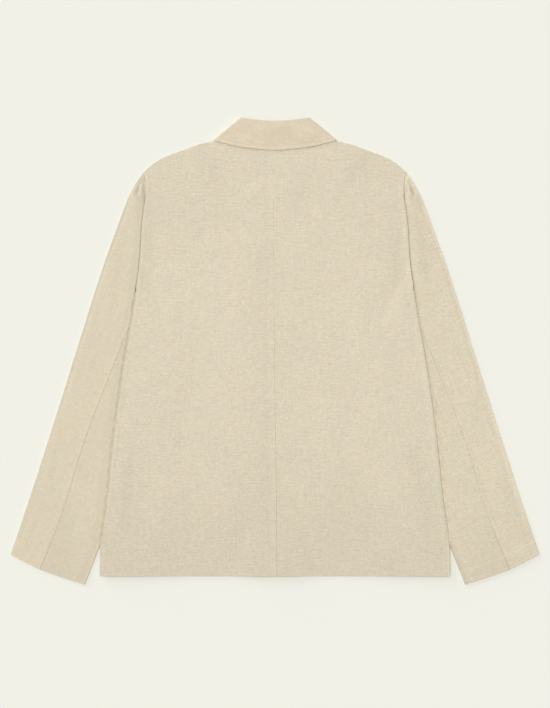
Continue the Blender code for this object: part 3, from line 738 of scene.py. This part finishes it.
def top_sleeve(side):
    """From the elbow seam round the outer fold, and under the arm nearly to the inner fold."""
    outer_shares, _, outer, inner, elbow, left = sleeve_lines()
    whole = span(outer, inner)
    edge = towards(elbow, outer, SEWN_GAP / 2)
    width = span(outer, edge)
    head = armhole_head(outer[-1], SIDE_LINE, HEAD_UPPER, SEWN_GAP / 2, ELBOW_SEAM[0])
    columns = shares_across(width, (1.3, 2.4, 4, 6.5), RIM, 36, 1.5)[:, ::-1]
    upper = sleeve_layer(outer, edge, head, columns, left, 0 * whole, span(outer, elbow) / whole)
    from_outer, from_elbow = columns * width[:, None], (1 - columns) * width[:, None]
    lift = cuff_lift(left) + turning(from_elbow, 7, 0.2) + groove(from_elbow, EDGE_STITCH, 0.1)
    high, tone_and_painted_shading = sleeve_lift_and_shade(side, upper, left, from_outer)
    at_cuff = ramp(left, 52, 80)[:, None]
    grey, shown, hidden = OUTER_SHADE[side]
    # Painted light along the elbow seam, with painted shade at its cuff end on the right; painted shade on
    # the left outer fold and painted light on the right one
    tone_and_painted_shading += mark(from_elbow, 0, SEAM_LINE, 4 + ELBOW_GREY[side] * at_cuff) + mark(from_elbow, 3.4, 2.2, 1)
    tone_and_painted_shading += mark(from_outer, 0, 7, grey) * ramp(left, shown, hidden)[:, None]
    sheet = Sheet(side)
    index = sheet.grid(level(upper, REST + LEVEL + high), lift, tone_and_painted_shading=tone_and_painted_shading, grain=sleeve_grain(upper))
    lines = {"cuff": index[TURNED_STITCHES], "elbow": index[:, RIM.index(EDGE_STITCH)]}
    fold = fold_grid(SLEEVE_OUTER, outer_shares, 1)
    fold_shade = tone_and_painted_shading[:, -1:] + GREY * OUTER_FOLD_GREY[side]
    index = sheet.grid(fold, cuff_lift(left) * ROUND_FOLD, index[:, -1], fold_shade, sleeve_grain(fold))

    turned = towards(inner, outer, UNDER_TURN)
    underarm = (float(smooth(FRONT_EDGE, UNDERARM)) + APART, UNDERARM)
    head = armhole_head(outer[-1], FRONT_EDGE, HEAD_LOWER, APART, underarm)
    width = span(outer, turned)
    columns = shares_across(width, (1.3, 4), (0, 0.7, 1.4, 3), 24)
    lower = sleeve_layer(outer, turned, head, columns, left, 0 * whole, 1 - UNDER_TURN / whole)
    high, tone_and_painted_shading = creases_and_shade(lower[:, :, 0], lower[:, :, 1] + 12 * side, LOWER_SLEEVE_MARKS)
    across = columns * width[:, None]
    high = np.maximum(high, 0) * ease(across / 20) * ease((across[:, -1:] - across) / 20)
    high = high * ease(left / 30)[:, None]
    sheet.grid(level(lower, REST + high), 0, index[:, -1], 1 + tone_and_painted_shading, sleeve_grain(lower, outer))
    return sheet, lines


def under_sleeve(side):
    """From the elbow seam to the inner fold, and just round it."""
    _, inner_shares, outer, inner, elbow, left = (found[::-1] for found in sleeve_lines())
    whole = span(outer, inner)
    edge = towards(elbow, inner, SEWN_GAP / 2)
    width = span(edge, inner)[:, None]
    columns = shares_across(width[:, 0], (0, 0.8, 2, 4), (1.3, 3, 6), 14)
    upper = sleeve_layer(edge, inner, None, columns, left, span(outer, elbow) / whole, 0 * whole + 1)
    from_inner = (1 - columns) * width
    high, tone_and_painted_shading = sleeve_lift_and_shade(side, upper, left, from_inner)
    # Painted shade over the under sleeve, more towards the cuff, painted light along the elbow seam, and
    # painted light and shade near the inner fold
    tone_and_painted_shading -= GREY * (1.2 + 3.4 * ramp(left, 0, 110))[:, None] * ramp(from_inner, 40, -20)
    tone_and_painted_shading += mark(width - from_inner, 0, SEAM_LINE, 6)
    for place, wide, grey in INNER_SHADE[side]:
        tone_and_painted_shading += mark(from_inner, place, wide, grey) * ramp(left, 60, 100)[:, None]
    sheet = Sheet(side)
    lift = cuff_lift(left)
    index = sheet.grid(level(upper, REST + LEVEL + high), lift, tone_and_painted_shading=tone_and_painted_shading, grain=sleeve_grain(upper))
    lines = {"cuff": index[-1 - TURNED_STITCHES]}
    fold = fold_grid(SLEEVE_INNER, inner_shares, -1)
    fold_shade = tone_and_painted_shading[:, -1:] + GREY * INNER_FOLD_GREY[side] * ramp(left, 60, 90)[:, None]
    index = sheet.grid(fold, lift * ROUND_FOLD, index[:, -1], fold_shade, sleeve_grain(fold))
    turned = towards(inner, outer, UNDER_TURN - SEAM_GAP)
    under = inner[:, None] + (turned - inner)[:, None] * np.array((0.15, 0.4, 0.7, 0.9, 1))[:, None]
    sheet.grid(level(under, REST), 0, index[:, -1], grain=sleeve_grain(under, inner))
    return sheet, lines


# ---- Collar ----


def rulings(back, front, over, under, seat, share):
    """Rulings of a collar layer from the middle of the back round to its front: the fold's end, the free end,
    the height and the way up."""
    mirrored = [(-a, b, -c, d) for a, b, c, d in back[:0:-1]]
    moved = [(c, d, a, b) for a, b, c, d in mirrored + list(back)]
    radius = (over - under) / 2
    side = np.array(back[-1], float)
    inner, outer = side[:2], side[:2] + (side[2:] - side[:2]) * share
    way = unit(outer - inner)
    square = np.array((way[1], -way[0]))
    most = square * (seat + CLOTH / 2 + radius)
    last = (*(outer + most), *(inner + most))
    moved[-1] = last
    moved[0] = tuple(last * np.array((-1, 1, -1, 1)))
    half = along(moved, np.linspace(0.5, 1, 38))
    found = [(row[2:], row[:2], over, (0, 0, 1)) for row in half]
    for turn in np.radians((75, 60, 45, 30, 15, 0, -15, -30, -45, -60, -75)):
        by = seat + CLOTH / 2 + radius * (1 - cos(turn))
        up = (*(-square * cos(turn)), sin(turn))
        found.append((inner + square * by, outer + square * by, (over + under) / 2 + radius * sin(turn), up))
    beneath = [last] + [(c, d, a, b) for a, b, c, d in front[1:]]
    for row in along(beneath, np.concatenate([np.linspace(0, 0.97, 30), (0.985, 0.994, 1)])):
        found.append((row[2:], row[:2], under, (0, 0, -1)))
    return found


def collar_grid(found, near_start, near_end, count):
    """Points of the right half from its rulings, and how far each is from its ruling's free end."""
    fold, free, height = (np.array([ruling[part] for ruling in found]) for part in range(3))
    whole = span(fold, free)
    shares = shares_across(whole, near_start, near_end, count)
    flat = fold[:, None] + (free - fold)[:, None] * shares[:, :, None]
    return level(flat, height[:, None]), (1 - shares) * whole[:, None]


def whole_collar(*halves):
    """Both halves of rows of points, or of numbers, from the left front round to the right front."""
    joined = []
    for right in halves:
        left = right[:0:-1]
        joined.append(np.concatenate([left * (-1, 1, 1) if right.ndim == 3 else left, right]))
    return joined


def collar_grain(points, far, drawn=1):
    """Coordinates along the weave: round the collar by its free edge, drawn in by a share, and in from it."""
    arc = arc_of(points[:, -1])
    return np.stack([(arc - arc.mean())[:, None] * drawn + 0 * far, -far], axis=2)


LEAF_GRAIN = 0.86  # the fold's length as a share of the free edge's
ROLL_TURNS = np.radians((0, 20, 40, 60, 78))


def collar_leaf():
    found = rulings(LEAF_BACK, LEAF_FRONT, LEAF_OVER, REST + RAISED, seat=0, share=1)
    roll = (LEAF_OVER - STAND_OVER) / 2
    right, far = collar_grid(found, (CLOTH / 2 + roll, 2, 3.5, 6), RIM, 14)
    rolled = []
    for fold, free, height, up in found:
        way = np.append(unit(free - fold), 0)
        start = np.append(fold, height)
        rolled.append([
            start + way * (CLOTH / 2 + roll * (1 - cos(turn))) - np.array(up) * roll * (1 - sin(turn))
            for turn in ROLL_TURNS
        ])
    right = np.concatenate([np.array(rolled), right], axis=1)
    far = np.hstack([np.repeat(far[:, :1], len(ROLL_TURNS), axis=1), far])
    points, far = whole_collar(right, far)
    lift = (0.2 * ramp(far, 4.8, 6.4) + groove(far, TOP_STITCH, 0.12)) * ease((points[:, :, 2] - 1) / 2)
    high, tone_and_painted_shading = creases_and_shade(points[:, :, 0], points[:, :, 1], COLLAR_MARKS)
    # Painted light in a band inside the free edge, and painted shade along the edge itself
    tone_and_painted_shading = 1 + tone_and_painted_shading + mark(far, 2.8, 2.6, 2.4) + mark(far, 0, 0.7, -5)
    points[:, :, 2] += high * ease(far / 14) * ramp(-points[:, :, 2], -5.2, -4.8)
    sheet = Sheet()
    index = sheet.grid(points, lift, tone_and_painted_shading=tone_and_painted_shading, grain=collar_grain(points, far, LEAF_GRAIN))
    return sheet, {"edge": index[:, -1 - RIM.index(TOP_STITCH)]}


def collar_stand():
    def placed(table, neck):
        return [(fold_x, fold_y, x, float(smooth(neck, x)) + APART) for fold_x, fold_y, x in table]

    side = [LEAF_BACK[-1]]
    back, front = placed(STAND_BACK, BACK_NECK) + side, side + placed(STAND_FRONT, FRONT_NECK)
    found = rulings(back, front, STAND_OVER, STAND_UNDER, seat=1.6, share=0.6)
    right, far = collar_grid(found, (0.8, 1.5, 3), (0, 0.7, 2), 7)
    points, far = whole_collar(right, far)
    sheet = Sheet()
    sheet.grid(points, 0, grain=collar_grain(points, far))
    return sheet, {}


# ---- Materials ----


class Number:
    """A socket that takes part in sums, so that a material reads as formulas."""

    def __init__(self, shade, socket):
        self.shade = shade
        self.socket = socket

    def math(self, operation, *values):
        return self.shade.node("ShaderNodeMath", {"operation": operation}, dict(enumerate(values)))

    def __add__(self, other):
        return self.math("ADD", self, other)

    def __sub__(self, other):
        return self.math("SUBTRACT", self, other)

    def __rsub__(self, other):
        return self.math("SUBTRACT", other, self)

    def __mul__(self, other):
        return self.math("MULTIPLY", self, other)

    def __truediv__(self, other):
        return self.math("DIVIDE", self, other)

    __radd__ = __add__
    __rmul__ = __mul__

    def sine(self):
        return self.math("SINE", self)

    def size(self):
        return self.math("ABSOLUTE", self)


class Shade:
    """A material and its nodes."""

    def __init__(self, name):
        self.material = bpy.data.materials.new(name)
        self.material.use_nodes = True
        self.nodes = self.material.node_tree.nodes
        self.surface = self.nodes["Principled BSDF"]

    def node(self, kind, settings, values, output=0):
        made = self.nodes.new(kind)
        for name, value in settings.items():
            setattr(made, name, value)
        for name, value in values.items():
            self.put(made.inputs[name], value)
        return Number(self, made.outputs[output])

    def put(self, socket, value):
        if isinstance(value, Number):
            self.material.node_tree.links.new(value.socket, socket)
        else:
            socket.default_value = value

    def set(self, **values):
        for name, value in values.items():
            self.put(self.surface.inputs[name.replace("_", " ").title().replace("Ior", "IOR")], value)

    def two_of(self, vector):
        """A vector's first two parts, in millimetres."""
        split = self.nodes.new("ShaderNodeSeparateXYZ")
        self.put(split.inputs[0], vector)
        return Number(self, split.outputs[0]) * 1000, Number(self, split.outputs[1]) * 1000

    def grain(self):
        """The two coordinates along the weave."""
        return self.two_of(self.node("ShaderNodeUVMap", {"uv_map": "grain"}, {}))

    def place(self):
        """Where the object is, across and along."""
        return self.two_of(self.node("ShaderNodeTexCoord", {}, {}, "Object"))

    def noise(self, x, y, detail=1, z=0):
        """Noise about 0 that changes over one unit of its coordinates."""
        where = self.node("ShaderNodeCombineXYZ", {}, {0: x, 1: y, 2: z})
        values = {"Vector": where, "Scale": 1, "Detail": detail, "Roughness": 0.5}
        return self.node("ShaderNodeTexNoise", {"noise_dimensions": "3D"}, values) - 0.5

    def tint(self, colour, amount):
        """A colour made lighter or darker by an amount that varies."""
        return self.node("ShaderNodeVectorMath", {"operation": "SCALE"}, {0: colour, "Scale": amount})

    def bumped(self, height, distance, strength):
        values = {"Height": height, "Distance": distance, "Strength": strength}
        self.set(normal=self.node("ShaderNodeBump", {}, values))


WARP, WEFT = 0.62, 0.7  # from thread to thread
HUES = ((0.976, 1.003, 1.02), (1.024, 0.997, 0.98))  # the cooler and the rosier linen


def linen(name, colour, contrast=1, clouded=0.03):
    """Linen with slubs both ways, clouds and threads: contrast is how strongly its colour varies, and clouded
    how strong its broadest clouds are."""
    shade = Shade(name)
    u, v = shade.grain()
    wander = shade.noise(u / 26, v / 26) * 3
    short_weft = shade.noise(u / 7.5, (v + wander) / 2, z=6.1)
    short_warp = shade.noise((u + wander) / 1.9, v / 3.8, z=8.3)
    long_warp = shade.noise((u + wander) / 1.2, v / 24, z=1.7)
    long_weft = shade.noise(u / 28, (v + wander) / 1.1, z=5.1)
    mottle = shade.noise(u / 6, v / 5, detail=2, z=2.2)
    cloud = shade.noise(u / 30, v / 26, z=9.4)
    slubs = short_weft * 0.24 + short_warp * 0.2 + (long_warp + long_weft * 1.6) * 0.13
    # The pieces' painted light and shade, from the points of their sheets
    painted_shading = shade.node("ShaderNodeAttribute", {"attribute_name": "tone_and_painted_shading"}, {}, 2)
    tone_and_painted_shading = painted_shading * (1 + contrast * (slubs + mottle * 0.065 + cloud * clouded))
    warm = shade.noise(u / 9, v / 11, detail=2, z=4.4) * 2 + 0.5
    cool, rosy = ((*(part * share for part, share in zip(colour, shares)), 1) for shares in HUES)
    mixed = shade.node("ShaderNodeMix", {"data_type": "RGBA"}, {"Factor": warm, 6: cool, 7: rosy}, 2)
    warp, weft = (((way + wander * 0.2) * (pi / pitch)).sine() for way, pitch in ((u, WARP), (v, WEFT)))
    weave = warp.size() + weft.size() + warp * weft * 0.8
    shade.set(base_color=shade.tint(mixed, tone_and_painted_shading), roughness=0.9 - mottle * 0.1, specular_ior_level=0.2)
    shade.set(sheen_weight=0.12, sheen_roughness=0.5)
    shade.bumped(weave * 0.1 + slubs * 0.9, 0.0003, 0.5)
    return shade.material


def sewing_thread():
    shade = Shade("thread")
    x, y = shade.place()
    twist = ((x + y) * 5.2).sine()
    tone_and_painted_shading = 1 + shade.noise(x / 2, y / 2) * 0.2 + twist * 0.05
    shade.set(base_color=shade.tint((0.66, 0.57, 0.42), tone_and_painted_shading), roughness=0.7 + twist * 0.05)
    shade.bumped(twist, 0.00008, 0.6)
    return shade.material


def horn():
    shade = Shade("horn")
    x, y = shade.place()
    streak = shade.noise(x / 9, y / 2.4, detail=3)
    cloud = shade.noise(x / 5, y / 5, z=3.1)
    shade.set(base_color=shade.tint((0.33, 0.24, 0.15), 1 + streak * 1.3 + cloud * 0.5))
    shade.set(roughness=0.32 + cloud * 0.2, coat_weight=0.15, coat_roughness=0.2)
    shade.bumped(streak, 0.00005, 0.5)
    return shade.material


def floor_paper():
    shade = Shade("floor")
    x, y = shade.place()
    fleck = shade.noise(x / 1.5, y / 1.5)
    shade.set(base_color=shade.tint((0.872, 0.87, 0.791), 1 + fleck * 0.006))
    shade.set(roughness=0.95, specular_ior_level=0)
    return shade.material


body_linen = linen("linen_body", (0.7238, 0.6427, 0.4923))
sleeve_linen = {
    "left": linen("linen_left_sleeve", (0.7205, 0.638, 0.4797), 0.69),
    "right": linen("linen_right_sleeve", (0.7185, 0.6374, 0.4797), 1.06),
}
collar_linen = linen("linen_collar", (0.7258, 0.6252, 0.4672), 0.7, 0.24)
thread = sewing_thread()

# ---- Pieces ----


def link(obj):
    bpy.context.scene.collection.objects.link(obj)
    return obj


def add_mesh(name, points, faces, material, grain=None, tone_and_painted_shading=None):
    mesh = bpy.data.meshes.new(name)
    mesh.from_pydata(points * MM, [], faces)
    if grain is not None:
        layer = mesh.uv_layers.new(name="grain")
        corners = np.empty(len(mesh.loops), int)
        mesh.loops.foreach_get("vertex_index", corners)
        layer.data.foreach_set("uv", (grain[corners] * MM).ravel())
        # The painted light and shade, kept on the points for the cloth's colour
        mesh.attributes.new("tone_and_painted_shading", "FLOAT", "POINT").data.foreach_set("value", tone_and_painted_shading)
    mesh.materials.append(material)
    mesh.validate()
    mesh.shade_smooth()
    obj = link(bpy.data.objects.new(name, mesh))
    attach(obj, "root")
    return obj


THREAD_RINGS = ((-0.5, 0.35, -0.3), (-0.36, 1, 0), (0.36, 1, 0), (0.5, 0.35, -0.3))  # along, wide, sunk
THREAD_SIDES = 5
THREAD = 0.2  # radius
STEEP = 0.2  # how much a line may rise before it has no stitches
DOWN, ALONG_HEM, UPWARD = np.array(((0, 0, -1), (1, 0, 0), (0, 1, 0)))


def thread_bar(at, way, up, length, radius=THREAD):
    """A stitch: a short bar of thread pulled into the cloth at both ends. Gives its points."""
    across = np.cross(up, way)
    points = []
    for lengthwise, wide, sunk in THREAD_RINGS:
        middle = at + way * lengthwise * length + up * radius * (0.3 + sunk)
        for corner in range(THREAD_SIDES):
            turn = tau * corner / THREAD_SIDES
            round_it = across * cos(turn) + up * sin(turn) * 0.8
            points.append(middle + round_it * radius * wide)
    return points


def thread_faces(bars):
    """The faces of a number of bars of thread."""
    faces = []
    shape = (len(THREAD_RINGS), THREAD_SIDES)
    for bar in range(bars):
        rings = np.arange(shape[0] * shape[1]).reshape(shape) + bar * shape[0] * shape[1]
        for low, high in zip(rings, rings[1:]):
            faces += np.stack([low, np.roll(low, -1), np.roll(high, -1), high], axis=1).tolist()
        faces += [rings[0][::-1].tolist(), rings[-1].tolist()]
    return faces


def seam_stitches(line, ways_up, start=4, pitch=3.3, length=2.5):
    """Bars of thread along a line of points on the cloth, but for where it turns under."""
    arc = arc_of(line)

    def at(place, values):
        return np.array([np.interp(place, arc, axis) for axis in values.T])

    bars = []
    for place in np.arange(start, arc[-1] - start, pitch):
        way = unit(at(place + 0.5, line) - at(place, line))
        if abs(way[2]) < STEEP:
            bars.append(thread_bar(at(place, line), way, at(place, ways_up), length))
    return bars


def buttonhole_stitches():
    """Close bars on both sides of each slit, on the right side of the left front, which faces the floor."""
    bars = []

    def stitch(x, y, place, length, radius):
        z = RAISED + float(front_height(np.array(x), np.array(place))) - CLOTH / 2
        bars.append(thread_bar(np.array((x, y, z)), UPWARD, DOWN, length, radius))

    for place in BUTTON_PLACES:
        for x in np.arange(HOLE_STARTS, HOLE_STARTS - HOLE_LONG, -HOLE_PITCH):
            for way in (-1, 1):
                stitch(x, place + way * HOLE_SIDE, place, 2, 0.26)
        for x in (HOLE_STARTS + 0.6, HOLE_STARTS - HOLE_LONG - 0.4):
            stitch(x, place, place, 4.6, 0.4)
    return bars


def button_threads():
    """The thread through each button's four holes, and its shank up to the cloth."""
    bars = []
    for place in BUTTON_PLACES:
        for way in (-1, 1):
            for strand in (-0.3, 0, 0.3):
                at = np.array((0, place + way * BUTTON_HOLES + strand, BUTTON_DISH - 0.05))
                bars.append(thread_bar(at, ALONG_HEM, DOWN, 2 * BUTTON_HOLES + 1, 0.22))
        for turn in np.arange(0, tau, tau / 6):
            at = np.array((cos(turn) * 0.7, place + sin(turn) * 0.7, BUTTON_HIGH + 0.25))
            bars.append(thread_bar(at, -DOWN, ALONG_HEM, 0.9, 0.4))
    return bars


def add_stitches(name, bars):
    """One piece of thread from a number of bars."""
    return add_mesh(name, np.array(bars).reshape(-1, 3), thread_faces(len(bars)), thread)


def add_cloth(name, made, material, sewn_on=()):
    """A piece of cloth with its stitches. sewn_on: more pieces of thread, gathered with the stitches into a
    list that nothing further uses.
    """
    sheet, lines = made
    points, faces, grain, tone_and_painted_shading = sheet.shell()
    obj = add_mesh(f"cloth_{name}", points, faces.tolist(), material, grain, tone_and_painted_shading)
    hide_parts(name)
    pieces = list(sewn_on)
    if lines:
        bars = [bar for line in lines.values() for bar in seam_stitches(*sheet.outer(line))]
        pieces.append(add_stitches(f"cloth_{name}_stitches", bars))
    wide, long = np.ptp(sheet.grain, axis=0)
    area = float(np.linalg.norm(sheet.crossed(), axis=1).sum() / 2)


# ---- The whole ----

for side, label in ((-1, "left"), (1, "right")):
    add_cloth(f"top_sleeve_{label}", top_sleeve(side), sleeve_linen[label])
    add_cloth(f"under_sleeve_{label}", under_sleeve(side), sleeve_linen[label])
    if side < 0:
        sewn_on = add_stitches("buttonhole_stitches", buttonhole_stitches())
    else:
        sewn_on = add_stitches("button_threads", button_threads())
    add_cloth(f"front_{label}", front_panel(side), body_linen, [sewn_on])
    add_cloth(f"back_{label}", back_panel(side), body_linen)
add_cloth("collar_stand", collar_stand(), collar_linen)
add_cloth("collar_leaf", collar_leaf(), collar_linen)


def pick(obj):
    """Selects one object alone."""
    bpy.ops.object.select_all(action="DESELECT")
    obj.select_set(True)
    bpy.context.view_layer.objects.active = obj


def add_cylinder(sides, radius, depth, x, y, z):
    """An upright cylinder, selected alone."""
    bpy.ops.object.select_all(action="DESELECT")
    bpy.ops.mesh.primitive_cylinder_add(
        vertices=sides, radius=radius * MM, depth=depth * MM, location=(x * MM, y * MM, z * MM)
    )
    return bpy.context.object


def modelled_button(material):
    """A turned disc with a dished face towards the floor and four holes, in the middle of the floor."""
    disc = add_cylinder(64, BUTTON_RADIUS, BUTTON_HIGH, 0, 0, BUTTON_HIGH / 2)
    bpy.ops.object.transform_apply(location=True)
    for face in disc.data.polygons:
        face.select = face.normal.z < -0.9
    bpy.ops.object.mode_set(mode="EDIT")
    bpy.ops.mesh.select_mode(type="FACE")
    bpy.ops.mesh.inset(thickness=BUTTON_LIP * MM)
    bpy.ops.mesh.inset(thickness=BUTTON_SLOPE * MM)
    bpy.ops.transform.translate(value=(0, 0, BUTTON_DISH * MM))
    bpy.ops.mesh.select_all(action="DESELECT")
    bpy.ops.object.mode_set(mode="OBJECT")
    rim = BUTTON_RADIUS * MM * 0.99
    for edge in disc.data.edges:
        a, b = (disc.data.vertices[corner].co for corner in edge.vertices)
        edge.select = min(hypot(a.x, a.y), hypot(b.x, b.y)) > rim and abs(a.z - b.z) < MM / 100
    bpy.ops.object.mode_set(mode="EDIT")
    bpy.ops.mesh.select_mode(type="EDGE")
    bpy.ops.mesh.bevel(offset=0.6 * MM, segments=4)
    bpy.ops.object.mode_set(mode="OBJECT")
    for x, y in ((-1, -1), (-1, 1), (1, -1), (1, 1)):
        drill = add_cylinder(20, BUTTON_DRILL, DRILL_LONG, x * BUTTON_HOLES, y * BUTTON_HOLES, 0)
        hole = disc.modifiers.new("Hole", "BOOLEAN")
        hole.operation = "DIFFERENCE"
        hole.object = drill
        pick(disc)
        bpy.ops.object.modifier_apply(modifier="Hole")
        bpy.data.objects.remove(drill)
    bpy.ops.object.shade_smooth_by_angle(angle=radians(35))
    disc.data.materials.clear()
    disc.data.materials.append(material)
    return disc


first_button = modelled_button(horn())
horn_buttons = [first_button]
for place in BUTTON_PLACES[1:]:
    copied = first_button.copy()
    copied.data = first_button.data.copy()
    horn_buttons.append(link(copied))
for number, (button, place) in enumerate(zip(horn_buttons, BUTTON_PLACES), 1):
    button.name = f"horn_button_{number}"
    pick(button)
    bpy.ops.transform.translate(value=(0, place * MM, 0))
    bpy.ops.object.transform_apply(location=True)
    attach(button, "root")
    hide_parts(f"button_{number}")

floor = bpy.data.meshes.new("floor")
floor.from_pydata([(-6, -6, 0), (6, -6, 0), (6, 6, 0), (-6, 6, 0)], [], [(0, 1, 2, 3)])
floor.materials.append(floor_paper())
floor = link(bpy.data.objects.new("floor", floor))

# ---- Light and camera ----

scene = bpy.context.scene
scene.world = bpy.data.worlds.new("studio")
scene.world.use_nodes = True
sky = scene.world.node_tree.nodes["Background"].inputs
sky["Color"].default_value = (1, 1, 1, 1)
sky["Strength"].default_value = 0.34

LIGHT_FROM = radians(135)  # the upper left


def add_light(name, energy, across, high):
    """A soft light from the upper left: across is how wide it looks, and high its height, both in degrees."""
    light = bpy.data.lights.new(name, "SUN")
    light.energy = energy
    light.angle = radians(across)
    link(bpy.data.objects.new(name, light)).rotation_euler = (radians(90 - high), 0, LIGHT_FROM + radians(90))


add_light("window", 1.22, 32, 14)
add_light("ceiling", 1.86, 50, 76)

SHOWN_HIGH = 1.1328  # metres of floor from the picture's bottom to its top
lens = bpy.data.cameras.new("camera")
lens.sensor_fit = "VERTICAL"
lens.sensor_height = 36
lens.lens = 85
scene.camera = link(bpy.data.objects.new("camera", lens))
scene.camera.location = (0.0003, -0.0048, SHOWN_HIGH * lens.lens / lens.sensor_height)
scene.view_settings.view_transform = "Standard"
